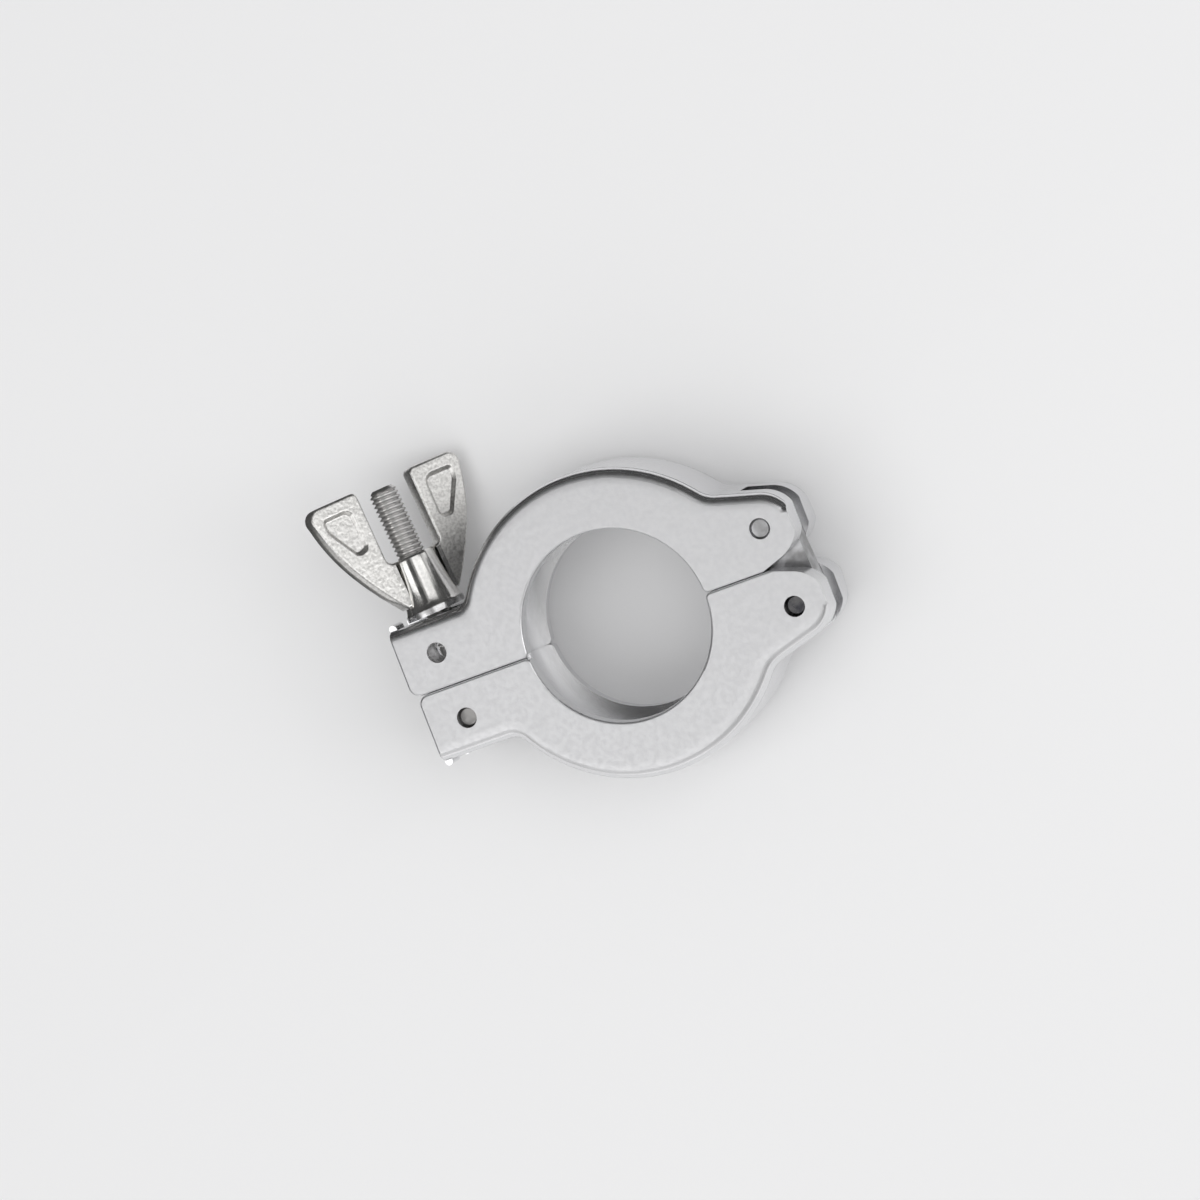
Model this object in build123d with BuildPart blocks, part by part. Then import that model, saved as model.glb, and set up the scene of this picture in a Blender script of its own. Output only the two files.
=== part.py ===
from build123d import *
import os
from math import cos, radians, sin, sqrt, tan

# Quick-release flange clamp for DN 25 vacuum flanges: two like die-cast jaws joined by
# a link at one end and drawn together by an eye bolt and a wing nut at the other.
# Z is the axis of the clamped flanges and z = 0 the plane where the flanges meet.
# X runs along the split line towards the hinge, Y across it towards the wing nut.

# ---- castings: ring, lug and hinge lobe ----
THICKNESS = 16.0        # depth of both castings along the flange axis
RING_R = 27.1           # outer arc of each casting
ARC_DROP = 0.95         # the outer arcs are struck from just beyond the split line
SPLIT_GAP = 0.06        # between the two split faces when closed
JAW_SHIFT = 0.8         # the lower casting sits this far towards the hinge
SEAT_Y = 11.8           # nut seat above the split line
LUG_CORNER_R = 1.8      # lug corner beside the split line
SEAT_FILLET_R = 2.6     # where the seat runs into the ring
NECK_FILLET_R = 5.0     # where the lobe runs into the ring
RIM_R = 1.6             # large rounding round the outside of the casting
SPLIT_CORNER_R = 1.0    # where the bore meets the split faces
EDGE_BREAK = 0.45       # small rounding of the split and bore edges

# ---- bore and V groove that draws the flanges together ----
BORE_R = 16.2           # lips either side of the groove
GROOVE_R = 20.4         # bottom of the groove
GROOVE_FLOOR = 9.2      # width of the groove at its bottom
GROOVE_FLANK = 15.0     # degrees, the taper of the flanges

# ---- hinge end ----
PIN_X = 29.0            # hinge pin from the bore axis, along the split line
PIN_Y = 6.9             # hinge pin from the split line
LOBE_R = 5.75           # lobe round the hinge pin
LOBE_FACET = 5.3        # flat at the outer end of the lobe, from the pin
NECK_SLOPE = 16.0       # degrees, top of the neck
RELIEF_SLOPE = 19.0     # degrees, run-off of the lobe from the split line
HINGE_SLOT_X = 22.6     # floor of the slot that takes the link
HINGE_SLOT = 5.0        # width of that slot
LINK_SIDE_GAP = 0.15    # link to slot wall, each side
LINK_HALF_WIDTH = 3.8   # link plate across the line of its pins

# ---- pins ----
PIN_R = 1.75            # all three rivet pins
PIN_GAP = 0.05          # running gap of link and eye on their pins
PIN_SEAT_GAP = 0.005    # pins are driven into the castings
PIN_CHAMFER = 0.35
UPPER_PIN_RECESS = 0.4  # ends of the pins below the faces of the castings
LOWER_PIN_RECESS = 1.3
BOLT_PIN_RECESS = 1.1

# ---- bolt end ----
BOLT_PIVOT_X = 31.15    # cross hole of each lug from the bore axis
LUG_WALL = 7.15         # lug beyond its cross hole
BOLT_PIVOT_Y = 6.0      # cross hole of each lug from the split line
BOLT_LEAN = 3.5         # degrees that the bolt leans outwards
BOLT_R = 2.45           # M5 thread
BOLT_SLOT_GAP = 0.2     # eye and shank to slot wall, each side
EYE_R = 4.8
EYE_THICKNESS = 4.9
EYE_END_GAP = 0.5       # eye to the floor of the slot
BOLT_ABOVE_NUT_BASE = 21.8
TIP_CHAMFER = 0.6
RETAINER_R = 0.65       # bead that keeps the nut on its seat
RETAINER_HEIGHT = 0.95

# ---- washer and wing nut ----
SEAT_CLEARANCE = 0.05   # lowest edge of the tilted washer above the seat
WASHER_R = 5.25
WASHER_HOLE_R = 2.65
WASHER_THICKNESS = 1.0
NUT_CLEARANCE = 0.02    # nut to washer
THREAD_GAP = 0.05       # nut bore to bolt
NUT_TURN = 45.0         # degrees, wings out of the plane of the clamp
HUB_BASE_R = 5.15
HUB_TOP_R = 3.85
HUB_FOOT = 0.5          # short cylinder at the foot of the cone
HUB_HEIGHT = 9.4
NUT_HEIGHT = 23.0
WING_TOP_OUTER = 15.3   # half span at the top
WING_GAP_HALF = 5.3     # wing to axis beside the bolt
WING_WAIST = (11.75, 11.2)  # point on the outer curve: from the axis, above the base
WING_ROOT_HEIGHT = 1.3  # where the outer curve leaves the hub
WING_THICKNESS = 3.3
WING_CORNER_R = 1.9
WING_INNER_CORNER_R = 1.0
WING_CROTCH_R = 1.5
WING_EDGE_R = 0.45
PANEL_MARGIN = 1.75     # hollow panel in from the wing's edges
PANEL_FOOT = 13.3       # lower end of the panel above the base
PANEL_CORNER_R = 1.3
PANEL_DEPTH = 0.7
PANEL_TAPER = 40.0      # degrees, slope of the panel's wall

# ---- places worked out from the sizes above ----
LUG_END_X = BOLT_PIVOT_X + LUG_WALL
SLOT_FLOOR_X = BOLT_PIVOT_X - EYE_R - EYE_END_GAP
SLOT_ALIGN = (Align.MIN, Align.CENTER, Align.CENTER)
NECK_X = HINGE_SLOT_X - THICKNESS / 2
NECK = radians(NECK_SLOPE)
RELIEF = radians(RELIEF_SLOPE)
BOLT_SLOT = EYE_THICKNESS + 2 * BOLT_SLOT_GAP
BOLT_PIVOT = (JAW_SHIFT - BOLT_PIVOT_X, -BOLT_PIVOT_Y)
UPPER_PIN = (PIN_X, PIN_Y)
LOWER_PIN = (PIN_X + JAW_SHIFT, -PIN_Y)
LEAN_SIN = sin(radians(BOLT_LEAN))
LEAN_COS = cos(radians(BOLT_LEAN))
# the outer edge of the tilted washer just clears the seat
WASHER_BASE = (SEAT_Y + BOLT_PIVOT_Y + SEAT_CLEARANCE + WASHER_R * LEAN_SIN) / LEAN_COS
NUT_BASE = WASHER_BASE + WASHER_THICKNESS + NUT_CLEARANCE
BOLT_TIP = NUT_BASE + BOLT_ABOVE_NUT_BASE
BOLT_AXIS = Vector(-LEAN_SIN, LEAN_COS, 0)


NUT_PLANE = Plane(
    origin=Vector(*BOLT_PIVOT, 0) + BOLT_AXIS * NUT_BASE,
    x_dir=(
        cos(radians(NUT_TURN)) * LEAN_COS,
        cos(radians(NUT_TURN)) * LEAN_SIN,
        -sin(radians(NUT_TURN)),
    ),
    z_dir=(
        sin(radians(NUT_TURN)) * LEAN_COS,
        sin(radians(NUT_TURN)) * LEAN_SIN,
        cos(radians(NUT_TURN)),
    ),
)

BACK_NUT_PLANE = Plane(NUT_PLANE.origin, x_dir=-NUT_PLANE.x_dir, z_dir=-NUT_PLANE.z_dir)
WING_FACES = [plane.offset(WING_THICKNESS / 2) for plane in (NUT_PLANE, BACK_NUT_PLANE)]


def along_bolt(distance):
    """The plane square to the bolt, this far from its pivot."""
    start = Vector(*BOLT_PIVOT, 0) + BOLT_AXIS * distance
    return Plane(origin=start, x_dir=(0, 0, 1), z_dir=BOLT_AXIS)


def jaw_outline(bore_x):
    """Profile of a casting above the split line, with its bore this far along that line."""
    lobe_top = (PIN_X + LOBE_R * sin(NECK), PIN_Y + LOBE_R * cos(NECK))
    lobe_low = (PIN_X + LOBE_R * sin(RELIEF), PIN_Y - LOBE_R * cos(RELIEF))
    relief_x = lobe_low[0] - (lobe_low[1] - SPLIT_GAP / 2) / tan(RELIEF)
    neck_y = lobe_top[1] + (lobe_top[0] - NECK_X) * tan(NECK)
    neck = [(NECK_X, 0), (relief_x, 0), (relief_x, SPLIT_GAP / 2), lobe_low, UPPER_PIN, lobe_top]
    with BuildSketch() as outline:
        with Locations((0, -ARC_DROP)):
            Circle(RING_R)
        with Locations((relief_x, 0)):
            Rectangle(RING_R, LOBE_R, align=(Align.MIN, Align.CENTER), mode=Mode.SUBTRACT)
        with Locations((-LUG_END_X, 0)):
            Rectangle(LUG_END_X - BORE_R, SEAT_Y, align=(Align.MIN, Align.MIN))
        Polygon(*neck, (NECK_X, neck_y), align=None)
        with Locations(UPPER_PIN):
            Circle(LOBE_R)
        with Locations((PIN_X + LOBE_FACET, 0)):
            Rectangle(LOBE_R, 4 * LOBE_R, align=(Align.MIN, Align.MIN), mode=Mode.SUBTRACT)
        with Locations((0, SPLIT_GAP / 2)):
            Rectangle(4 * RING_R, 2 * RING_R, align=(Align.CENTER, Align.MIN), mode=Mode.INTERSECT)
        with Locations((bore_x, 0)):
            Circle(BORE_R, mode=Mode.SUBTRACT)
        seat_end = sqrt(RING_R**2 - (SEAT_Y + ARC_DROP) ** 2)
        fillet(nearest(outline, -seat_end, SEAT_Y), SEAT_FILLET_R)
        fillet(nearest(outline, HINGE_SLOT_X, neck_y - HINGE_SLOT_X * tan(NECK) / 2), NECK_FILLET_R)
        fillet(nearest(outline, -LUG_END_X, 0), LUG_CORNER_R)
        fillet(nearest(outline, bore_x - BORE_R, 0), SPLIT_CORNER_R)
        fillet(nearest(outline, bore_x + BORE_R, 0), SPLIT_CORNER_R)
    return outline.sketch


def nearest(outline, x, y):
    """The corner of a profile that is nearest to a point."""
    return outline.vertices().sort_by_distance((x, y))[0]


def nearest_edge(jaw, end, x, y):
    """The edge of the front or back face that is nearest to a point."""
    side = THICKNESS / 2 if end else -THICKNESS / 2
    return jaw.edges().group_by(Axis.Z)[end].sort_by_distance((x, y, side))[0]


def casting(bore_x):
    """One jaw above the split line, in the casting's own place."""
    with BuildPart() as jaw:
        with BuildSketch(Plane.XY.offset(-THICKNESS / 2)):
            add(jaw_outline(bore_x))
        extrude(amount=THICKNESS)
        for end in (0, -1):
            # the rim runs on from the nut seat over the ring to the lobe's tip
            fillet(nearest_edge(jaw, end, -BOLT_PIVOT_X, SEAT_Y), RIM_R)
        # the bore's edge runs on into the split line, round the lug and back to the bore
        fillet(nearest_edge(jaw, 0, bore_x, BORE_R), EDGE_BREAK)
        # V groove
        mouth = GROOVE_FLOOR / 2 + (GROOVE_R - BORE_R + EDGE_BREAK) * tan(radians(GROOVE_FLANK))
        bore_axis = Axis((bore_x, 0, 0), (0, 0, 1))
        with BuildSketch(Plane(bore_axis.position, x_dir=(1, 0, 0), z_dir=(0, -1, 0))):
            Polygon(
                (BORE_R - EDGE_BREAK, -mouth),
                (GROOVE_R, -GROOVE_FLOOR / 2),
                (GROOVE_R, GROOVE_FLOOR / 2),
                (BORE_R - EDGE_BREAK, mouth),
                align=None,
            )
        revolve(axis=bore_axis, mode=Mode.SUBTRACT)
        # bead at the outer end of the nut seat
        with BuildSketch(Plane.XY.offset(RIM_R - THICKNESS / 2)):
            with Locations((RETAINER_R - LUG_END_X, SEAT_Y)):
                SlotOverall(2 * RETAINER_HEIGHT, 2 * RETAINER_R, rotation=90)
        extrude(amount=THICKNESS - 2 * RIM_R)
        # slots for the link and for the bolt
        with Locations((HINGE_SLOT_X, 0, 0)):
            Box(LUG_END_X, RING_R, HINGE_SLOT, align=SLOT_ALIGN, mode=Mode.SUBTRACT)
        with Locations(Location((-SLOT_FLOOR_X, 0, 0), (0, 0, 180))):
            Box(LUG_END_X, 2 * RING_R, BOLT_SLOT, align=SLOT_ALIGN, mode=Mode.SUBTRACT)
        # cross holes for the pins
        with Locations((*UPPER_PIN, 0), (-BOLT_PIVOT_X, BOLT_PIVOT_Y, 0)):
            Hole(PIN_R + PIN_SEAT_GAP)
    return jaw.part


def rivet(place, front_recess, back_recess):
    """A hinge pin across the casting, its ends sunk below both faces."""
    with BuildPart() as pin:
        with BuildSketch(Plane.XY.offset(back_recess - THICKNESS / 2)):
            with Locations(place):
                Circle(PIN_R)
        extrude(amount=THICKNESS - front_recess - back_recess)
        chamfer(pin.edges().filter_by(GeomType.CIRCLE), PIN_CHAMFER)
    return pin.part


with BuildPart() as upper_jaw:
    add(casting(0))
upper_jaw.part.label = "upper_jaw"

with BuildPart() as lower_jaw:
    with Locations((JAW_SHIFT, 0, 0)):
        add(casting(-JAW_SHIFT).mirror(Plane.XZ))
lower_jaw.part.label = "lower_jaw"

with BuildPart() as upper_hinge_pin:
    add(rivet(UPPER_PIN, UPPER_PIN_RECESS, UPPER_PIN_RECESS))
upper_hinge_pin.part.label = "upper_hinge_pin"

with BuildPart() as lower_hinge_pin:
    add(rivet(LOWER_PIN, LOWER_PIN_RECESS, LOWER_PIN_RECESS))
lower_hinge_pin.part.label = "lower_hinge_pin"

with BuildPart() as bolt_pin:
    add(rivet(BOLT_PIVOT, BOLT_PIN_RECESS, BOLT_PIN_RECESS))
bolt_pin.part.label = "bolt_pin"

with BuildPart() as hinge_link:
    with BuildSketch(Plane.XY.offset(LINK_SIDE_GAP - HINGE_SLOT / 2)) as plate:
        with BuildLine():
            CenterArc(UPPER_PIN, LINK_HALF_WIDTH, 0, 360)
            CenterArc(LOWER_PIN, LINK_HALF_WIDTH, 0, 360)
        make_hull()
        with Locations(UPPER_PIN, LOWER_PIN):
            Circle(PIN_R + PIN_GAP, mode=Mode.SUBTRACT)
    extrude(amount=HINGE_SLOT - 2 * LINK_SIDE_GAP)
hinge_link.part.label = "hinge_link"

with BuildPart() as eye_bolt:
    with BuildSketch(along_bolt(0)):
        Circle(BOLT_R)
    extrude(amount=BOLT_TIP)
    chamfer(eye_bolt.faces().sort_by(Axis(BOLT_PIVOT, BOLT_AXIS))[-1].edges(), TIP_CHAMFER)
    with BuildSketch(Plane.XY.offset(-EYE_THICKNESS / 2)):
        with Locations(BOLT_PIVOT):
            Circle(EYE_R)
    extrude(amount=EYE_THICKNESS)
    with Locations((*BOLT_PIVOT, 0)):
        Hole(PIN_R + PIN_GAP)
eye_bolt.part.label = "eye_bolt"

with BuildPart() as washer:
    with BuildSketch(along_bolt(WASHER_BASE)):
        Circle(WASHER_R)
        Circle(WASHER_HOLE_R, mode=Mode.SUBTRACT)
    extrude(amount=WASHER_THICKNESS)
washer.part.label = "washer"


def wing_outline():
    """Profile of one wing, in the plane of the wings, beside the bolt axis."""
    root = BOLT_R + THREAD_GAP + WING_EDGE_R
    with BuildSketch() as wing:
        with BuildLine():
            Line((root, WING_ROOT_HEIGHT), (HUB_BASE_R, WING_ROOT_HEIGHT))
            ThreePointArc(
                (HUB_BASE_R, WING_ROOT_HEIGHT),
                WING_WAIST,
                (WING_TOP_OUTER, NUT_HEIGHT),
            )
            Line((WING_TOP_OUTER, NUT_HEIGHT), (WING_GAP_HALF, NUT_HEIGHT))
            Line((WING_GAP_HALF, NUT_HEIGHT), (WING_GAP_HALF, HUB_HEIGHT))
            Line((WING_GAP_HALF, HUB_HEIGHT), (root, HUB_HEIGHT))
            Line((root, HUB_HEIGHT), (root, WING_ROOT_HEIGHT))
        make_face()
        fillet(nearest(wing, WING_TOP_OUTER, NUT_HEIGHT), WING_CORNER_R)
        fillet(nearest(wing, WING_GAP_HALF, NUT_HEIGHT), WING_INNER_CORNER_R)
        fillet(nearest(wing, WING_GAP_HALF, HUB_HEIGHT), WING_CROTCH_R)
    return wing.sketch


def panel_outline():
    """Profile of the hollow panel of one wing."""
    with BuildSketch() as panel:
        add(wing_outline())
        offset(amount=-PANEL_MARGIN)
        with Locations((0, PANEL_FOOT)):
            Rectangle(NUT_HEIGHT, NUT_HEIGHT, align=(Align.MIN, Align.MIN), mode=Mode.INTERSECT)
        fillet(panel.vertices(), PANEL_CORNER_R)
    return panel.sketch


with BuildPart() as wing_nut:
    with BuildSketch(NUT_PLANE.offset(-WING_THICKNESS / 2)):
        add(wing_outline())
        mirror(about=Plane.YZ)
    extrude(amount=WING_THICKNESS)
    through = Axis(NUT_PLANE.origin, NUT_PLANE.z_dir)
    for side in (0, -1):
        fillet(wing_nut.edges().group_by(through)[side], WING_EDGE_R)
    with BuildSketch(*WING_FACES):
        add(panel_outline())
        mirror(about=Plane.YZ)
    extrude(amount=-PANEL_DEPTH, taper=PANEL_TAPER, mode=Mode.SUBTRACT)
    with BuildSketch(NUT_PLANE):
        Polygon(
            (0, 0),
            (HUB_BASE_R, 0),
            (HUB_BASE_R, HUB_FOOT),
            (HUB_TOP_R, HUB_HEIGHT),
            (0, HUB_HEIGHT),
            align=None,
        )
    revolve(axis=Axis(NUT_PLANE.origin, BOLT_AXIS))
    with BuildSketch(NUT_PLANE):
        Rectangle(BOLT_R + THREAD_GAP, NUT_HEIGHT, align=(Align.MIN, Align.MIN))
    revolve(axis=Axis(NUT_PLANE.origin, BOLT_AXIS), mode=Mode.SUBTRACT)
wing_nut.part.label = "wing_nut"

os.makedirs("parts", exist_ok=True)
for piece in (
    upper_jaw,
    lower_jaw,
    hinge_link,
    upper_hinge_pin,
    lower_hinge_pin,
    bolt_pin,
    eye_bolt,
    washer,
    wing_nut,
):
    export_step(piece.part, f"parts/{piece.part.label}.step")
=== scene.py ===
from math import cos, radians, sin

import bmesh
import bpy
import numpy as np
from mathutils import Matrix, Vector


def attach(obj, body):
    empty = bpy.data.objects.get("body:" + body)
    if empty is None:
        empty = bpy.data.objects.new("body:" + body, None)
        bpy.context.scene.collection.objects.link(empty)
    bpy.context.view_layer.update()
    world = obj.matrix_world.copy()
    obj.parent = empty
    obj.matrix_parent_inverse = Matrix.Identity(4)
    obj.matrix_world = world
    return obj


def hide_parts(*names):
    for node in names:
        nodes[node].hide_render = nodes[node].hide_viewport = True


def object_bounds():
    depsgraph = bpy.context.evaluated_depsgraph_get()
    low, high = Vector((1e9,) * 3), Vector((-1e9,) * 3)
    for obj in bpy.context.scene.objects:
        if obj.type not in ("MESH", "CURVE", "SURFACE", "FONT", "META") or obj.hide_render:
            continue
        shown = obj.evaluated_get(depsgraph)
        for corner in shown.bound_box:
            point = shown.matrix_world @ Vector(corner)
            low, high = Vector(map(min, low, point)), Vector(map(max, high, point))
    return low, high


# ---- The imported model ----
# Everything is in metres in the part's own frame: Z is the axis of the clamped flanges,
# X runs along the split line towards the hinge and Y across it towards the wing nut.
# A millimetre is the unit of every size below.
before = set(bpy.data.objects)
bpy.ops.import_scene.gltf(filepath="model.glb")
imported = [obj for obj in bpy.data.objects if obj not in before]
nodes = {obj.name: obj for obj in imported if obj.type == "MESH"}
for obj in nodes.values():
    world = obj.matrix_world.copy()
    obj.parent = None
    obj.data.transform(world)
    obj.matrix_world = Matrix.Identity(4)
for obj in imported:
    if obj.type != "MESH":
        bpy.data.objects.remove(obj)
cad_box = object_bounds()
MM = 0.001


# ---- The two jaws ----
# Both are the same aluminium die casting, the lower one turned over. After casting they
# are tumbled, which leaves the flat faces matt and lightly clouded and polishes the large
# rounding round the outside. The V groove inside the bore stays as the mould left it, and
# is painted lighter than the faces as painted light for what it catches in the bore.
FACE_Z = 8.0            # both flat faces from the middle plane
FACE_BAND = 0.25        # height below the face over which its matt skin begins
RIM_START_Z = 6.5       # where the large rounding begins
RIM_BAND = 0.3
RING_R = 27.1
ARC_DROP = 0.95         # the outer arcs are struck from just beyond the split line
NECK_SLOPE = radians(16)
NECK_LINE = 20.5        # from the Z axis to the straight top of the neck
NECK_BLEND = 4.0        # softness of the corner between ring and neck
SEAT_Y = 11.8
SEAT_END = 20.0         # the nut's seat runs out into the ring this far from the Z axis
SEAT_BLEND = 2.0
CROWN_WIDTH = 3.0       # the face falls off softly towards its outer edge
CROWN_DEPTH = 0.42
GROOVE_R = 20.4
GROOVE_BAND = 0.5       # the groove's skin begins this far outside its bottom
GROOVE_MOUTH_Z = 6.2
GROOVE_SKIN_Z = 5.6
FACE_ROUGHNESS = (0.50, 0.55)   # between the clouds and in them
RIM_ROUGHNESS = (0.17, 0.22)
GROOVE_ROUGHNESS = 0.24
BUFFING = 0.14          # the face is this much smoother at its outer edge
CLOUD_TINT = 0.10       # share of the darker colour in the clouds
DENT_TINT = 0.12
SKIN_DEPTH = 0.012
DENT_DEPTH = 0.6        # times the depth of the skin
CLOUD_RANGE = (0.3, 0.7)    # noise at which a cloud begins and is full
DENT_RANGE = (0.22, 0.05)   # how near a cell's middle a dent begins and is deepest
JAW_COLOUR = (0.80, 0.80, 0.81, 1)
JAW_SHADE = (0.66, 0.66, 0.68, 1)
# painted light: the groove is coloured lighter than the faces for the light its flanks catch in
# the bore
GROOVE_PAINTED_LIGHT = (0.84, 0.84, 0.85, 1)


def link(tree, output, socket):
    """Joins two sockets, or writes a plain number or colour on the second."""
    if isinstance(output, bpy.types.NodeSocket):
        tree.links.new(output, socket)
    else:
        socket.default_value = output


def add_node(tree, kind, inputs=(), **settings):
    """A node of this kind with its settings and its inputs, given by name or place."""
    node = tree.nodes.new(kind)
    for name, value in settings.items():
        setattr(node, name, value)
    for key, value in dict(inputs).items():
        link(tree, value, node.inputs[key])
    return node


def math_node(tree, operation, *values, clamp=False):
    """The result of one sum on these values."""
    node = add_node(tree, "ShaderNodeMath", enumerate(values), operation=operation)
    node.use_clamp = clamp
    return node.outputs[0]


def ramp(tree, value, low, high, to_low=0.0, to_high=1.0):
    """A value carried smoothly from one range to another and held at its ends."""
    spread = {"Value": value, 1: low, 2: high, 3: to_low, 4: to_high}
    node = add_node(tree, "ShaderNodeMapRange", spread, interpolation_type="SMOOTHSTEP")
    return node.outputs[0]


def blend_colour(tree, factor, first, second):
    """A colour that goes from the first to the second as the factor goes from 0 to 1.

    Inputs 6 and 7 and output 2 are the Mix node's colours.
    """
    node = tree.nodes.new("ShaderNodeMix")
    node.data_type = "RGBA"
    link(tree, factor, node.inputs[0])
    link(tree, first, node.inputs[6])
    link(tree, second, node.inputs[7])
    return node.outputs[2]


def new_group(name, inputs, outputs):
    """An empty shader group with float inputs and outputs, its input and output nodes."""
    tree = bpy.data.node_groups.new(name, "ShaderNodeTree")
    number = "NodeSocketFloat"
    for socket_name, value in inputs.items():
        socket = tree.interface.new_socket(socket_name, in_out="INPUT", socket_type=number)
        socket.default_value = value
    for socket_name in outputs:
        tree.interface.new_socket(socket_name, in_out="OUTPUT", socket_type=number)
    return tree, tree.nodes.new("NodeGroupInput"), tree.nodes.new("NodeGroupOutput")


def metal_grain_group():
    """Clouding, fine grain and small dents of a metal surface.

    Sizes are in millimetres. Cloud and Grain are noise and run from 0 to 1. Dents is 1 at
    the bottom of a dent, a small round spot in the middle of each cell of a pattern.
    """
    sizes = {"Cloud size": 5.0, "Grain size": 0.3, "Dent size": 2.0}
    tree, given, result = new_group("Metal grain", sizes, ("Cloud", "Grain", "Dents"))
    place = tree.nodes.new("ShaderNodeTexCoord").outputs["Object"]

    def pattern(kind, size, **settings):
        scale = math_node(tree, "DIVIDE", 1 / MM, given.outputs[size])
        return add_node(tree, kind, {"Vector": place, "Scale": scale, **settings}).outputs

    cloud = pattern("ShaderNodeTexNoise", "Cloud size", Detail=3.0)[0]
    grain = pattern("ShaderNodeTexNoise", "Grain size", Detail=2.0)[0]
    dents = pattern("ShaderNodeTexVoronoi", "Dent size")["Distance"]
    link(tree, ramp(tree, cloud, *CLOUD_RANGE), result.inputs["Cloud"])
    link(tree, grain, result.inputs["Grain"])
    link(tree, ramp(tree, dents, *DENT_RANGE), result.inputs["Dents"])
    return tree


METAL_GRAIN = metal_grain_group()


def grain_node(tree, cloud, grain, dent):
    """The metal grain group placed in a material, with its three sizes in millimetres."""
    node = tree.nodes.new("ShaderNodeGroup")
    node.node_tree = METAL_GRAIN
    for name, value in (("Cloud size", cloud), ("Grain size", grain), ("Dent size", dent)):
        node.inputs[name].default_value = value
    return node


def new_metal(name, roughness):
    """A plain metal of one roughness: the material, its nodes and its shader."""
    material = bpy.data.materials.new(name)
    material.use_nodes = True
    shader = material.node_tree.nodes["Principled BSDF"]
    shader.inputs["Metallic"].default_value = 1.0
    shader.inputs["Roughness"].default_value = roughness
    return material, material.node_tree, shader


def bump(tree, shader, height, unit):
    """Raises the surface by a height, given in units of this many millimetres."""
    relief = {"Height": height, "Distance": unit * MM, "Strength": 1.0}
    node = add_node(tree, "ShaderNodeBump", relief)
    link(tree, node.outputs[0], shader.inputs["Normal"])


def place_parts(tree):
    """Object coordinates as x, y, z and the distance from the Z axis, in metres."""
    place = tree.nodes.new("ShaderNodeTexCoord").outputs["Object"]
    split = add_node(tree, "ShaderNodeSeparateXYZ", {0: place})
    flat = add_node(tree, "ShaderNodeVectorMath", {0: place, 1: (1, 1, 0)}, operation="MULTIPLY")
    radius = add_node(tree, "ShaderNodeVectorMath", {0: flat.outputs[0]}, operation="LENGTH")
    return split.outputs[0], split.outputs[1], split.outputs[2], radius.outputs["Value"]


def outside_edge(tree, x, y):
    """How far a place lies outside the castings' outer edge, in metres.

    It is the smallest of the distances to the ring's circle, to the straight top of the
    neck on the hinge side and to the nut's seat on the other, rounded where two meet.
    """
    high = math_node(tree, "ABSOLUTE", y)
    flat = add_node(tree, "ShaderNodeCombineXYZ", {0: x, 1: high}).outputs[0]
    from_centre = {0: flat, 1: (0, -ARC_DROP * MM, 0)}
    spread = add_node(tree, "ShaderNodeVectorMath", from_centre, operation="DISTANCE")
    ring = math_node(tree, "SUBTRACT", spread.outputs["Value"], RING_R * MM)
    outward = {0: flat, 1: (sin(NECK_SLOPE), cos(NECK_SLOPE), 0)}
    rise = add_node(tree, "ShaderNodeVectorMath", outward, operation="DOT_PRODUCT")
    over_neck = math_node(tree, "SUBTRACT", rise.outputs["Value"], NECK_LINE * MM)
    neck = math_node(tree, "MAXIMUM", over_neck, math_node(tree, "MULTIPLY", x, -1))
    over_seat = math_node(tree, "SUBTRACT", high, SEAT_Y * MM)
    seat = math_node(tree, "MAXIMUM", over_seat, math_node(tree, "ADD", x, SEAT_END * MM))
    edge = math_node(tree, "SMOOTH_MIN", ring, neck, NECK_BLEND * MM)
    return math_node(tree, "SMOOTH_MIN", edge, seat, SEAT_BLEND * MM)


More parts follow.
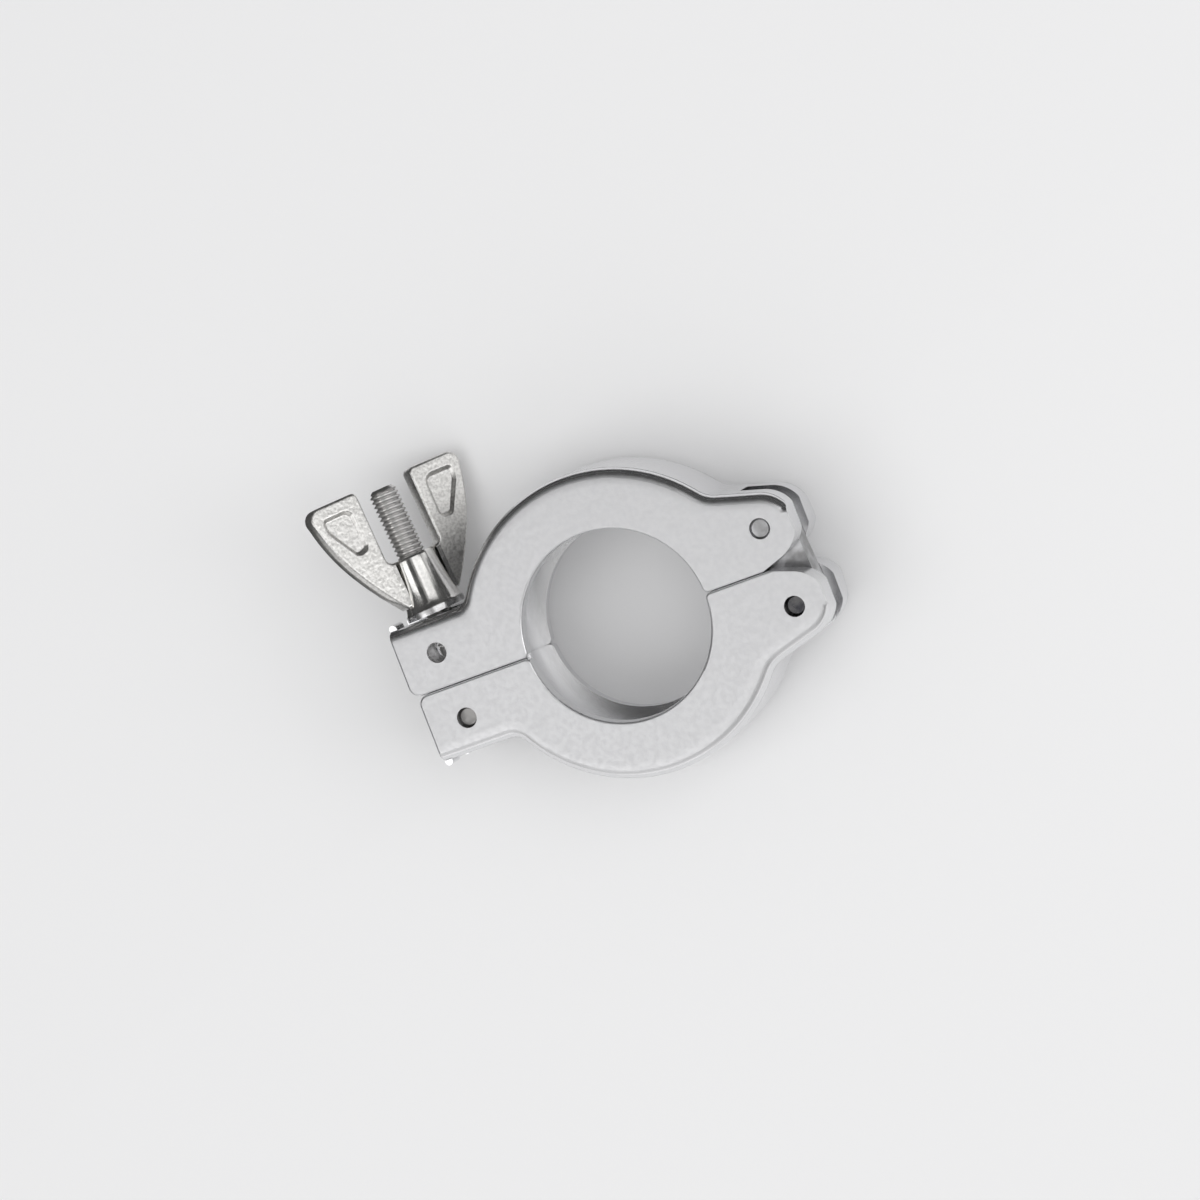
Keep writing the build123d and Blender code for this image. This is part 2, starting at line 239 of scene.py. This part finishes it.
def casting_metal():
    """Tumbled aluminium: matt clouded faces, polished rims and a groove with its own roughness
    and a painted light in its colour.

    Towards its outer edge a face is smoother, and its normals lean outwards as if it
    fell away by the square of how far it is into the crown's width.
    """
    material, tree, shader = new_metal("Tumbled casting", 0.35)
    grain = grain_node(tree, cloud=0.9, grain=0.2, dent=2.6)
    cloud, dents = grain.outputs["Cloud"], grain.outputs["Dents"]
    x, y, z, radius = place_parts(tree)
    height = math_node(tree, "ABSOLUTE", z)
    on_face = ramp(tree, height, (FACE_Z - FACE_BAND) * MM, (FACE_Z - 0.02) * MM)
    in_bore = ramp(tree, radius, (GROOVE_R + GROOVE_BAND) * MM, (GROOVE_R + 0.1) * MM)
    between = ramp(tree, height, GROOVE_MOUTH_Z * MM, GROOVE_SKIN_Z * MM)
    groove = math_node(tree, "MULTIPLY", in_bore, between)
    from_edge = math_node(tree, "DIVIDE", outside_edge(tree, x, y), CROWN_WIDTH * MM)
    near_edge = math_node(tree, "ADD", from_edge, 1.0, clamp=True)

    dented = math_node(tree, "MULTIPLY", dents, DENT_TINT)
    worn = math_node(tree, "ADD", math_node(tree, "MULTIPLY", cloud, CLOUD_TINT), dented)
    skin = blend_colour(tree, worn, JAW_COLOUR, JAW_SHADE)
    # painted light: the groove is blended to a lighter colour than the faces
    link(tree, blend_colour(tree, groove, skin, GROOVE_PAINTED_LIGHT), shader.inputs["Base Color"])

    matt = ramp(tree, cloud, 0, 1, *FACE_ROUGHNESS)
    buffed = math_node(tree, "MULTIPLY_ADD", near_edge, -BUFFING, matt)
    polished = ramp(tree, cloud, 0, 1, *RIM_ROUGHNESS)
    tumbled = add_node(tree, "ShaderNodeMix", {0: on_face, 2: polished, 3: buffed})
    rough = {0: groove, 2: tumbled.outputs[0], 3: GROOVE_ROUGHNESS}
    link(tree, add_node(tree, "ShaderNodeMix", rough).outputs[0], shader.inputs["Roughness"])

    pitted = math_node(tree, "MULTIPLY", dents, -DENT_DEPTH)
    pitted = math_node(tree, "ADD", grain.outputs["Grain"], pitted)
    crown = math_node(tree, "POWER", near_edge, 2.0)
    crown = math_node(tree, "MULTIPLY", crown, -CROWN_DEPTH)
    above_rim = ramp(tree, height, (RIM_START_Z - RIM_BAND) * MM, RIM_START_Z * MM)
    crown = math_node(tree, "MULTIPLY", crown, above_rim)
    relief = math_node(tree, "ADD", math_node(tree, "MULTIPLY", pitted, SKIN_DEPTH), crown)
    bump(tree, shader, relief, 1.0)
    return material


def finish_with(material, *names):
    """Gives CAD nodes this material."""
    for name in names:
        mesh = nodes[name].data
        mesh.materials.clear()
        mesh.materials.append(material)


finish_with(casting_metal(), "upper_jaw", "lower_jaw")


# ---- The eye bolt ----
# Zinc-plated steel with a rolled M5 thread. The eye is forged flat and turns on its pin
# between the ears of the lower lug; the shank stands up through the upper lug.
BOLT_PIVOT = np.array([-30.35, -6.0, 0.0])  # the middle of the pin through the eye
BOLT_LEAN = radians(3.5)
BOLT_AXIS = np.array([-sin(BOLT_LEAN), cos(BOLT_LEAN), 0.0])
SHANK_START = 2.6       # from the pivot, inside the wall of the eye
THREAD_START = 12.0     # from the pivot
THREAD_FADE = 0.9       # height over which the thread reaches its full depth
BOLT_TIP = 41.02        # from the pivot
TIP_CONE = 0.7          # height of the cone that trims the tip
TIP_SLOPE = 1.1
THREAD_R = 2.45
THREAD_ROOT_R = 2.02
THREAD_PITCH = 0.8
FLANK_SLOPE = 3.1       # the flanks go this many thread depths deep in a pitch
CREST_FLAT = 0.35       # and lose this many to the flat on the crest
TURN_STEPS = 112        # points in a turn, and rows of them in a pitch
PITCH_STEPS = 14
EYE_R = 4.8
EYE_BORE_R = 1.8
EYE_HALF = 2.45
EYE_ROUNDING = 0.5
ROOT_BAND = 0.25        # height over the root that takes painted shade
ROOT_PAINTED_SHADE = 0.7         # share of the painted shade colour in the root
THREAD_ROUGHNESS = (0.3, 0.4)
THREAD_GRAIN_DEPTH = 0.004
BOLT_COLOUR = (0.82, 0.81, 0.80, 1)
BOLT_PAINTED_SHADE = (0.52, 0.51, 0.50, 1)


def grid_faces(rows, columns):
    """Quads between neighbouring rows of a grid that closes on itself along each row."""
    corner = np.arange((rows - 1) * columns).reshape(rows - 1, columns)
    beside = np.roll(corner, -1, axis=1)
    quads = np.stack([corner, beside, beside + columns, corner + columns], axis=-1)
    return quads.reshape(-1, 4)


def new_object(name, data):
    """An object with this mesh, lamp or camera, in the scene."""
    thing = bpy.data.objects.new(name, data)
    bpy.context.scene.collection.objects.link(thing)
    return thing


def new_mesh(name, points, faces, material):
    """A mesh from points in millimetres, all in one material."""
    mesh = bpy.data.meshes.new(name)
    mesh.from_pydata((points * MM).tolist(), [], faces.tolist())
    mesh.materials.append(material)
    return mesh


def new_piece(name, points, faces, material, body):
    """A smooth closed piece from points in millimetres, riding on a body."""
    mesh = new_mesh(name, points, faces, material)
    shape = bmesh.new()
    shape.from_mesh(mesh)
    bmesh.ops.remove_doubles(shape, verts=shape.verts, dist=1e-7)
    bmesh.ops.recalc_face_normals(shape, faces=shape.faces)
    shape.to_mesh(mesh)
    shape.free()
    mesh.shade_smooth()
    mesh.set_sharp_from_angle(angle=radians(40))
    piece = new_object(name, mesh)
    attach(piece, body)
    return piece


def shank_surface():
    """Radius against height and turn: a plain shank, then a screw thread.

    The thread is a flattened V that repeats every pitch and climbs one pitch in each
    turn. It fades in above the plain shank, and a cone trims it at the tip.
    """
    plain = [SHANK_START, SHANK_START, THREAD_START / 2, THREAD_START - 0.5]
    thread = np.arange(THREAD_START, BOLT_TIP, THREAD_PITCH / PITCH_STEPS)
    heights = np.concatenate([plain, thread, [BOLT_TIP, BOLT_TIP]])
    turns = np.arange(TURN_STEPS) / TURN_STEPS
    phase = (heights[:, None] / THREAD_PITCH - turns) % 1.0
    groove = np.clip(FLANK_SLOPE * np.abs(phase - 0.5) - CREST_FLAT, 0, 1)
    fade = np.clip((heights - THREAD_START) / THREAD_FADE, 0, 1)
    radii = THREAD_R - (THREAD_R - THREAD_ROOT_R) * fade[:, None] * groove
    trim = THREAD_R - TIP_SLOPE * np.clip(heights - BOLT_TIP + TIP_CONE, 0, None)
    radii = np.minimum(radii, trim[:, None])
    radii[[0, -1]] = 0
    across = np.cross(BOLT_AXIS, [0, 0, 1])
    angle = 2 * np.pi * turns[:, None]
    spokes = np.cos(angle) * across + np.sin(angle) * np.array([0, 0, 1])
    points = BOLT_PIVOT + heights[:, None, None] * BOLT_AXIS + radii[..., None] * spokes
    return points.reshape(-1, 3), grid_faces(len(heights), len(turns))


def turned_surface(section):
    """A closed section of radii and heights carried once round the Z axis."""
    turn = np.radians(np.arange(0, 361, 3))[:, None]
    radii, heights = section.T
    rows = np.stack([np.cos(turn) * radii, np.sin(turn) * radii, heights + 0 * turn], axis=-1)
    return rows.reshape(-1, 3), grid_faces(len(rows), len(section))


def eye_section():
    """The eye's section: a rectangle whose four corners are quarter circles."""
    quarter = np.arange(4)[:, None] * np.pi / 2 + np.radians(np.arange(0, 91, 15))
    signs = np.array([[1, 1], [-1, 1], [-1, -1], [1, -1]])[:, None, :]
    inset = np.array([(EYE_R - EYE_BORE_R) / 2, EYE_HALF]) - EYE_ROUNDING
    arcs = EYE_ROUNDING * np.stack([np.cos(quarter), np.sin(quarter)], axis=-1)
    middle = np.array([(EYE_R + EYE_BORE_R) / 2, 0])
    return (middle + signs * inset + arcs).reshape(-1, 2)


def thread_metal():
    """Bright zinc plate, with painted shade in the root of the thread.

    How far a place is from the bolt's axis comes from the squares of its distance from
    the pivot and of its height along the axis.
    """
    material, tree, shader = new_metal("Zinc-plated thread", 0.3)
    grain = grain_node(tree, cloud=3.0, grain=0.15, dent=1.4)
    place = tree.nodes.new("ShaderNodeTexCoord").outputs["Object"]
    pivot = tuple(BOLT_PIVOT * MM)
    offset = add_node(tree, "ShaderNodeVectorMath", {0: place, 1: pivot}, operation="SUBTRACT")
    lean = {0: offset.outputs[0], 1: tuple(BOLT_AXIS)}
    along = add_node(tree, "ShaderNodeVectorMath", lean, operation="DOT_PRODUCT")
    reach = add_node(tree, "ShaderNodeVectorMath", {0: offset.outputs[0]}, operation="LENGTH")
    square = math_node(tree, "POWER", reach.outputs["Value"], 2.0)
    along_square = math_node(tree, "POWER", along.outputs["Value"], 2.0)
    square = math_node(tree, "SUBTRACT", square, along_square, clamp=True)
    radius = math_node(tree, "SQRT", square)
    # painted shade: the root of the thread is darkened where shade falls in it
    root = ramp(tree, radius, (THREAD_ROOT_R + ROOT_BAND) * MM, THREAD_ROOT_R * MM)
    root = math_node(tree, "MULTIPLY", root, ROOT_PAINTED_SHADE)
    tint = blend_colour(tree, root, BOLT_COLOUR, BOLT_PAINTED_SHADE)
    link(tree, tint, shader.inputs["Base Color"])
    dull = ramp(tree, grain.outputs["Cloud"], 0, 1, *THREAD_ROUGHNESS)
    link(tree, dull, shader.inputs["Roughness"])
    bump(tree, shader, grain.outputs["Grain"], THREAD_GRAIN_DEPTH)
    return material


shank_points, shank_faces = shank_surface()
eye_points, eye_faces = turned_surface(eye_section())
bolt_points = np.concatenate([shank_points, eye_points + BOLT_PIVOT])
bolt_faces = np.concatenate([shank_faces, eye_faces + len(shank_points)])
bolt = new_piece("threaded_eye_bolt", bolt_points, bolt_faces, thread_metal(), "bolt")
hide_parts("eye_bolt")


# ---- The wing nut ----
# A zinc die casting with bright nickel plate. The tall cone of its hub is polished. The
# wings keep the stippled skin of the mould on both faces and in their hollow panels, and
# their edges are rounded smooth.
NUT_BASE = 19.2245      # from the bolt's pivot
NUT_TURN = radians(45)  # the wings' turn about the bolt, out of the jaws' plane
HUB_PROFILE = (         # from the axis and above the base, round a closed section
    (2.5, 0.0), (5.08, 0.0), (5.14, 0.04), (5.13, 0.1), (5.03, 0.34), (4.93, 0.65), (4.83, 1.05),
    (4.7, 1.7), (4.49, 2.85), (4.28, 4.4), (4.09, 6.1), (3.94, 7.8), (3.87, 8.95), (3.82, 9.22),
    (3.72, 9.37), (3.55, 9.4), (2.5, 9.4),
)
WING_OUTLINE = (        # corners of one wing, each with its rounding
    ((2.9, 1.3), 0.0), ((5.15, 1.3), 0.0), ((7.25, 4.0), 30.0), ((9.35, 7.15), 40.0),
    ((11.75, 11.25), 60.0), ((13.6, 15.8), 80.0), ((15.3, 23.0), 1.9), ((5.3, 23.0), 1.0),
    ((5.3, 9.4), 1.5), ((2.9, 9.4), 0.0),
)
WING_HALF = 1.65
WING_EDGE_R = 0.42
EDGE_TURNS = (0, 20, 38, 56, 73, 90)        # degrees round the quarter circle of an edge
SIDE_TURNS = (30, 60, 90, 120, 150)         # degrees round the swell of the outer side
SIDE_SWELL = 0.3
SWELL_START = 2.0       # the swell starts this far above the base
SWELL_END = 1.5         # and ends this far below the top of the wing
SWELL_FADE = 3.0
PANEL_OUTLINE = (       # corners of the hollow panel's mouth, each with its rounding
    ((13.0, 20.9), 1.0), ((7.2, 21.0), 1.8), ((7.0, 13.2), 1.3), ((9.6, 12.6), 1.4),
    ((13.2, 18.6), 9.0),
)
PANEL_WALL = 0.75       # width of the panel's sloping wall
PANEL_DEPTH = 0.7
STIPPLE = 0.012         # height of the bumps in the wings' skin
STIPPLE_SIZE = 0.45
STEP = 0.13             # between rows of points
MAX_SPREAD = 10.0       # width that the points across the wing have to cover
POLISHED_HEIGHT = 9.5   # the hub and the roots of the wings are polished up to here
POLISHED_R = 5.2
PIT_SHADE_RANGE = (0.58, 0.38)    # grain at which a pit's painted shade begins and is darkest
NUT_COLOUR = (0.80, 0.79, 0.77, 1)
NUT_PAINTED_SHADE = (0.30, 0.295, 0.28, 1)


def rounded(corners):
    """A closed outline whose corners are arcs, as an array of points.

    A rounding of r cuts r tan(turn / 2) off both sides, no more than half of a side.
    """
    places = np.array([corner for corner, _ in corners])
    outline = []
    for i, (place, radius) in enumerate(corners):
        back, ahead = places[i - 1] - place, places[(i + 1) % len(places)] - place
        lengths = np.linalg.norm(back), np.linalg.norm(ahead)
        back, ahead = back / lengths[0], ahead / lengths[1]
        half = np.arccos(np.clip(back @ ahead, -1, 1)) / 2
        cut = min(radius / np.tan(half), lengths[0] / 2, lengths[1] / 2)
        middle = place + (back + ahead) / np.linalg.norm(back + ahead) * cut / np.cos(half)
        first, last = place + back * cut - middle, place + ahead * cut - middle
        share = np.linspace(0, 1, 12 if cut else 1)[:, None]
        chord = first + (last - first) * share
        arc = chord / np.maximum(np.linalg.norm(chord, axis=1), 1e-9)[:, None]
        outline.append(middle + arc * np.linalg.norm(first))
    return np.concatenate(outline)


def distance_to(points, outline):
    """Distance from each point to the nearest side of a closed outline.

    The nearest place on a side is its start plus the share of it that the point has
    passed, held between 0 and 1.
    """
    side = np.roll(outline, -1, axis=0) - outline
    gap = points[..., None, :] - outline
    passed = (gap * side).sum(-1) / np.maximum((side**2).sum(-1), 1e-12)
    nearest = gap - np.clip(passed, 0, 1)[..., None] * side
    return np.linalg.norm(nearest, axis=-1).min(-1)


def inside(points, outline):
    """Whether each point is within an outline that bulges outwards everywhere.

    Such a point lies on the same hand of all its sides.
    """
    side = np.roll(outline, -1, axis=0) - outline
    gap = points[..., None, :] - outline
    turn = side[:, 0] * gap[..., 1] - side[:, 1] * gap[..., 0]
    return (turn > 0).all(-1) | (turn < 0).all(-1)


def stipple(across, up, seed):
    """Smooth random bumps between -1 and 1, each about STIPPLE_SIZE wide.

    Random values stand at the corners of a square net, and a smooth step blends the four
    round each point. The net starts four squares early, so no point falls outside it.
    """
    values = np.random.default_rng(seed).uniform(-1, 1, (120, 120))
    x, y = across / STIPPLE_SIZE + 4, up / STIPPLE_SIZE + 4
    column, row = np.floor(x).astype(int), np.floor(y).astype(int)
    share_x, share_y = x - column, y - row
    share_x, share_y = (share**2 * (3 - 2 * share) for share in (share_x, share_y))
    low = values[row, column] * (1 - share_x) + values[row, column + 1] * share_x
    high = values[row + 1, column] * (1 - share_x) + values[row + 1, column + 1] * share_x
    return low * (1 - share_y) + high * share_y


def side_at(side, heights):
    """How far out one side of an outline is at each height."""
    order = np.argsort(side[:, 1], kind="stable")
    return np.interp(heights, side[order, 1], side[order, 0])


def wing_surface(seed):
    """One wing as a closed loop round its section, carried from its root to its top.

    Across the wing the loop runs from the inner edge to the outer on the front and comes
    back behind. Its half thickness is level inside, falls on a quarter circle at the
    edges, and dips in the panel on a smooth slope. The outer side swells on a sine.
    """
    outline = rounded(WING_OUTLINE)
    root, top = outline[:, 1].min(), outline[:, 1].max()
    edge_steps = WING_EDGE_R * (1 - np.cos(np.radians(EDGE_TURNS)))
    level_part = np.arange(root, top - WING_EDGE_R, STEP)
    heights = np.concatenate([level_part, top - edge_steps[::-1]])
    peak = int(np.argmax(outline[:, 1]))
    far, near = side_at(outline[1:peak + 1], heights), side_at(outline[peak:], heights)
    spread = (far - near - 2 * WING_EDGE_R)[:, None]
    across = np.concatenate([
        near[:, None] + edge_steps[:-1],
        near[:, None] + WING_EDGE_R + spread * np.linspace(0, 1, int(MAX_SPREAD / STEP)),
        far[:, None] - edge_steps[-2::-1],
    ], axis=1)
    up = np.broadcast_to(heights[:, None], across.shape)
    flat = np.stack([across, up], axis=-1)

    edge = np.clip(WING_EDGE_R - distance_to(flat, outline), 0, WING_EDGE_R)
    edge[:, [0, -1]] = WING_EDGE_R
    edge[-1] = WING_EDGE_R
    half = WING_HALF - WING_EDGE_R + np.sqrt(WING_EDGE_R**2 - edge**2)
    mouth = rounded(PANEL_OUTLINE)
    slope = np.clip(inside(flat, mouth) * distance_to(flat, mouth) / PANEL_WALL, 0, 1)
    half = half - PANEL_DEPTH * slope**2 * (3 - 2 * slope)
    rough = STIPPLE * np.clip(1 - 2 * edge / WING_EDGE_R, 0, 1)
    front = half + rough * stipple(across, up, seed)
    back = half + rough * stipple(across, up, seed + 1)

    side_turn = np.radians(SIDE_TURNS)
    fade = np.minimum(heights - SWELL_START, top - SWELL_END - heights) / SWELL_FADE
    fade = np.clip(fade, 0, 1)[:, None]
    side_across = far[:, None] + SIDE_SWELL * np.sin(side_turn) * fade**2 * (3 - 2 * fade)
    side_up = np.broadcast_to(heights[:, None], side_across.shape)
    side_half = (WING_HALF - WING_EDGE_R) * np.cos(side_turn) + 0 * side_up
    loop = np.concatenate([
        np.stack([across, up, front], axis=-1),
        np.stack([side_across, side_up, side_half], axis=-1),
        np.stack([across, up, -back], axis=-1)[:, ::-1],
    ], axis=1)
    closed = np.concatenate([loop[:1] * [1, 1, 0], loop, loop[-1:] * [1, 1, 0]])
    return closed.reshape(-1, 3), grid_faces(closed.shape[0], closed.shape[1])


def nut_plate(name, low, high, depth, tint):
    """Bright nickel plate with a grain of this depth, and painted shade in its pits by the tint.

    Its roughness goes from low to high with light clouding.
    """
    material, tree, shader = new_metal(name, low)
    grain = grain_node(tree, cloud=2.4, grain=0.42, dent=1.1)
    # painted shade: pits in the grain are darkened where shade falls in the stippled skin
    painted_pit_shade = ramp(tree, grain.outputs["Grain"], *PIT_SHADE_RANGE)
    shade = math_node(tree, "MULTIPLY", painted_pit_shade, tint)
    link(tree, blend_colour(tree, shade, NUT_COLOUR, NUT_PAINTED_SHADE), shader.inputs["Base Color"])
    link(tree, ramp(tree, grain.outputs["Cloud"], 0, 1, low, high), shader.inputs["Roughness"])
    bump(tree, shader, grain.outputs["Grain"], depth)
    return material


across_bolt = np.array([cos(BOLT_LEAN), sin(BOLT_LEAN), 0.0])
wing_normal = sin(NUT_TURN) * across_bolt + cos(NUT_TURN) * np.array([0, 0, 1])
wing_across = cos(NUT_TURN) * across_bolt - sin(NUT_TURN) * np.array([0, 0, 1])
nut_axes = np.stack([wing_across, BOLT_AXIS, wing_normal])
nut_origin = BOLT_PIVOT + NUT_BASE * BOLT_AXIS

right_points, wing_faces = wing_surface(seed=11)
left_points = wing_surface(seed=23)[0] * [-1, 1, 1]
hub_points, hub_faces = turned_surface(np.array(HUB_PROFILE))
hub_points = hub_points[:, [0, 2, 1]]
wing_count = len(right_points)
nut_points = np.concatenate([right_points, left_points, hub_points]) @ nut_axes + nut_origin
nut_faces = np.concatenate([wing_faces, wing_faces + wing_count, hub_faces + 2 * wing_count])
stippled_plate = nut_plate("Stippled nickel", low=0.28, high=0.36, depth=0.022, tint=0.34)
nut = new_piece("cast_wing_nut", nut_points, nut_faces, stippled_plate, "nut")
polished_plate = nut_plate("Polished nickel", low=0.13, high=0.2, depth=0.003, tint=0.1)
nut.data.materials.append(polished_plate)
centres = np.empty(len(nut.data.polygons) * 3)
nut.data.polygons.foreach_get("center", centres)
from_base = centres.reshape(-1, 3) / MM - nut_origin
from_axis = np.hypot(from_base @ wing_across, from_base @ wing_normal)
on_hub = (from_base @ BOLT_AXIS < POLISHED_HEIGHT) & (from_axis < POLISHED_R)
nut.data.polygons.foreach_set("material_index", on_hub.astype(np.int32))
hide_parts("wing_nut")


# ---- Washer, link and pins ----
# The washer is a plain turned ring of zinc-plated steel. The link is blanked from steel
# plate, and the pins are cut from drawn wire, driven in and left a little below the face.
# Each pin has a colour and roughness of its own; the lower hinge pin's near black is a painted
# shadow.
STEEL_TINT = 0.6        # share of the dull colour in the clouds
STEEL_GRAIN_DEPTH = 0.008
DULL_STEEL = (0.26, 0.255, 0.25, 1)
STEEL_PIECES = (        # piece, finish, colour, roughness between and in the clouds, grain
    ("washer", "Zinc-plated washer", (0.78, 0.78, 0.79, 1), 0.2, 0.3, 0.2),
    ("hinge_link", "Blanked link", (0.46, 0.46, 0.47, 1), 0.28, 0.42, 0.2),
    ("upper_hinge_pin", "Cut pin", (0.50, 0.50, 0.51, 1), 0.3, 0.5, 0.12),
    ("bolt_pin", "Dull pin", DULL_STEEL, 0.3, 0.5, 0.12),
    # painted shadow: the lower hinge pin is near black for the shade it lies in
    ("lower_hinge_pin", "Pin in painted shadow", (0.045, 0.045, 0.05, 1), 0.25, 0.45, 0.12),
)


def plain_steel(name, colour, low, high, grain_size):
    """Steel with light clouding: roughness goes from low to high with it."""
    material, tree, shader = new_metal(name, low)
    grain = grain_node(tree, cloud=2.0, grain=grain_size, dent=1.2)
    cloud = grain.outputs["Cloud"]
    dulled = math_node(tree, "MULTIPLY", cloud, STEEL_TINT)
    link(tree, blend_colour(tree, dulled, colour, DULL_STEEL), shader.inputs["Base Color"])
    link(tree, ramp(tree, cloud, 0, 1, low, high), shader.inputs["Roughness"])
    bump(tree, shader, grain.outputs["Grain"], STEEL_GRAIN_DEPTH)
    return material


for piece, finish, colour, low, high, grain_size in STEEL_PIECES:
    finish_with(plain_steel(finish, colour, low, high, grain_size), piece)


# ---- The table it is shown on ----
# A pale matt sheet that runs out past the view on every side, just under the lowest
# point of the part. It is not part of the object.
SHEET_HALF = 2500.0
SHEET_GAP = 0.05        # under the lowest point of the part
SHEET_COLOUR = (0.84, 0.84, 0.845, 1)
ONE_FACE = np.array([[0, 1, 2, 3]])
floor_z = cad_box[0].z / MM - SHEET_GAP


def paint(name, colour, roughness):
    """A plain finish that is not metal."""
    material = bpy.data.materials.new(name)
    material.use_nodes = True
    shader = material.node_tree.nodes["Principled BSDF"]
    shader.inputs["Base Color"].default_value = colour
    shader.inputs["Roughness"].default_value = roughness
    return material


sheet_corners = SHEET_HALF * np.array([[-1, -1], [1, -1], [1, 1], [-1, 1]])
sheet_points = np.column_stack([sheet_corners, np.full(4, floor_z)])
pale_paper = paint("Pale paper", SHEET_COLOUR, 0.9)
sheet = new_object("table_sheet", new_mesh("table_sheet", sheet_points, ONE_FACE, pale_paper))


# ---- Camera ----
# It looks down at the front face, from the hinge side and a little from the nut's side.
# The three turns place the part's axes in the view, and its stand centres the part.
VIEW_TURNS = {"x": 0.17399, "y": -0.28277, "z": 0.38472}    # radians
VIEW_STAND = (-2.53, 4.30, 583.8)       # right, up and back from the front of the bore
LENS = 106.29


def turn_matrix(axis):
    """The matrix of the view's turn about one axis."""
    c, s = cos(VIEW_TURNS[axis]), sin(VIEW_TURNS[axis])
    return np.array({
        "x": [[1, 0, 0], [0, c, -s], [0, s, c]],
        "y": [[c, 0, s], [0, 1, 0], [-s, 0, c]],
        "z": [[c, -s, 0], [s, c, 0], [0, 0, 1]],
    }[axis])


view_axes = turn_matrix("x") @ turn_matrix("y") @ turn_matrix("z")
camera = new_object("camera", bpy.data.cameras.new("camera"))
bpy.context.scene.camera = camera
camera.data.lens = LENS
camera.data.clip_start = 0.01
placed = np.eye(4)
placed[:3, :3] = view_axes.T
placed[:3, 3] = (view_axes.T @ np.array(VIEW_STAND) + [0, 0, FACE_Z]) * MM
camera.matrix_world = Matrix(placed.tolist())


# ---- Light ----
# Soft studio light: two broad lamps above, a low one across from the nut and a low one on
# the hinge side, in a room that is pale all round and greyer overhead. Dark cards behind
# the nut, on the table there and above it put the dark bands into the polished metal.
bpy.context.scene.view_settings.view_transform = "Standard"
LAMPS = (               # place, side of the square and power in watts
    ("overhead", (-400, -90, 880), 720, 2.3),
    ("key", (530, 40, 755), 820, 2.1),
    ("front_side", (-300, -850, 450), 600, 0.4),
    ("hinge_side", (900, -250, 400), 500, 1.2),
)
ROOM = 0.60             # light on matt surfaces from all round
ROOM_PALE = 0.92        # the room as it is seen or mirrored, near the table
ROOM_GREY = 0.30        # and overhead
ROOM_FADE = (0.1, 0.6)  # how steeply upwards it begins to turn grey, and is grey
CARD_COLOUR = (0.05, 0.05, 0.05, 1)
CARD_SPAN = (20, 200)   # degrees from X towards Y
CARD_RINGS = ((800, 0), (800, 1500))    # radius and height of a card's long edges
TABLE_RINGS = ((54, floor_z + 0.5), (800, floor_z + 0.5))
STRIP_CORNERS = ((-330, 0, 850), (5, 0, 850), (5, 420, 850), (-330, 420, 850))

for name, place, size, power in LAMPS:
    lamp = bpy.data.lights.new(name, "AREA")
    lamp.shape = "SQUARE"
    lamp.size = size * MM
    lamp.energy = power
    stand = new_object(name, lamp)
    stand.location = Vector(place) * MM
    stand.rotation_euler = Vector(place).to_track_quat("Z", "Y").to_euler()


def room_light():
    """A pale room: what is seen or mirrored fades from pale at the table to grey above."""
    world = bpy.data.worlds.new("pale_room")
    bpy.context.scene.world = world
    world.use_nodes = True
    tree = world.node_tree
    rays = tree.nodes.new("ShaderNodeLightPath").outputs
    seen = math_node(tree, "ADD", rays["Is Camera Ray"], rays["Is Glossy Ray"])
    seen = math_node(tree, "ADD", seen, rays["Is Transmission Ray"], clamp=True)
    direction = tree.nodes.new("ShaderNodeTexCoord").outputs["Generated"]
    upward = add_node(tree, "ShaderNodeSeparateXYZ", {0: direction}).outputs[2]
    shade = ramp(tree, upward, *ROOM_FADE, ROOM_PALE, ROOM_GREY)
    strength = add_node(tree, "ShaderNodeMix", {0: seen, 2: ROOM, 3: shade})
    link(tree, strength.outputs[0], tree.nodes["Background"].inputs["Strength"])
    tree.nodes["Background"].inputs["Color"].default_value = (1, 1, 1, 1)


room_light()
card_finish = paint("Dark card", CARD_COLOUR, 0.5)


def dark_card(name, points, faces):
    """A dark card that only polished metal sees, from points in millimetres."""
    card = new_object(name, new_mesh(name, points, faces, card_finish))
    card.visible_camera = False
    card.visible_diffuse = False
    card.visible_shadow = False


def bent_card(name, rings):
    """A card bent round part of a circle about the Z axis, from ring to ring.

    Each ring is the radius and the height at which one of its long edges runs.
    """
    turn = np.radians(np.linspace(*CARD_SPAN, 40))
    round_z = np.stack([np.cos(turn), np.sin(turn)], axis=-1)
    edges = [np.column_stack([round_z * radius, 0 * turn + height]) for radius, height in rings]
    first = np.arange(len(turn) - 1)
    faces = np.stack([first, first + 1, first + 1 + len(turn), first + len(turn)], axis=-1)
    dark_card(name, np.concatenate(edges), faces)


bent_card("dark_card", CARD_RINGS)
bent_card("table_card", TABLE_RINGS)
dark_card("dark_strip", np.array(STRIP_CORNERS), ONE_FACE)


bpy.context.view_layer.update()
